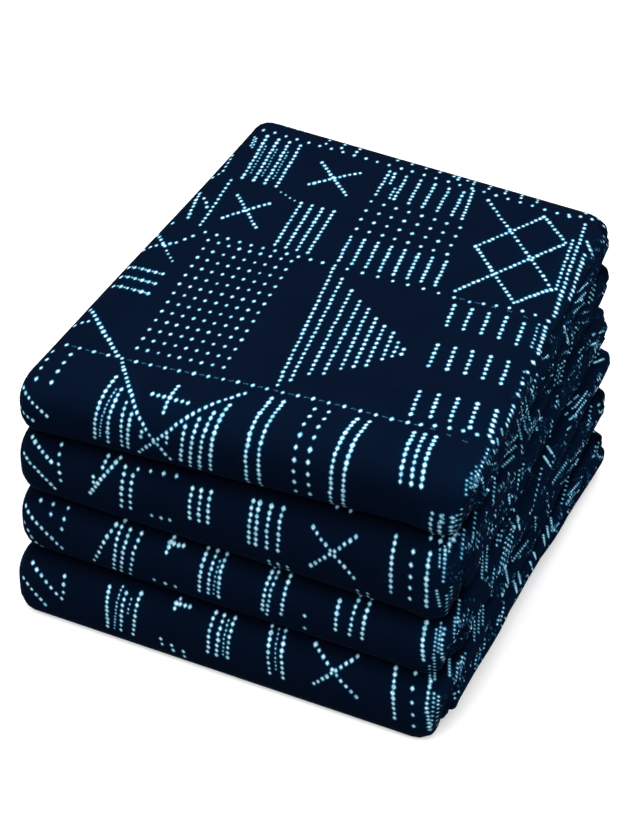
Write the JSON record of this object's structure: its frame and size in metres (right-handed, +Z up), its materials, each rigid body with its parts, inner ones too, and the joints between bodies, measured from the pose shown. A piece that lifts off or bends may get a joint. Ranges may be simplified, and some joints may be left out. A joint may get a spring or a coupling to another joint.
{
  "type": "folded ankara fabric",
  "caption": "Length of indigo printed ankara cotton, folded lengthwise into a narrow band and then back and forth into a thick soft pile with rounded front folds.",
  "frame": {"origin": "middle of the pile's footprint, on the surface that it rests on", "axes": "+Z up through the pile, -Y towards the rounded front folds, +Y towards the back folds, +X towards the side where the passes' edges fan out"},
  "size_m": [0.2188, 0.2234, 0.1526],
  "materials": {
    "cloth": "matt plain-woven cotton, near-black indigo with a pale dotted resist-style print"
  },
  "bodies": {
    "root": {"folded_cloth": "cloth"}
  },
  "joints": []
}
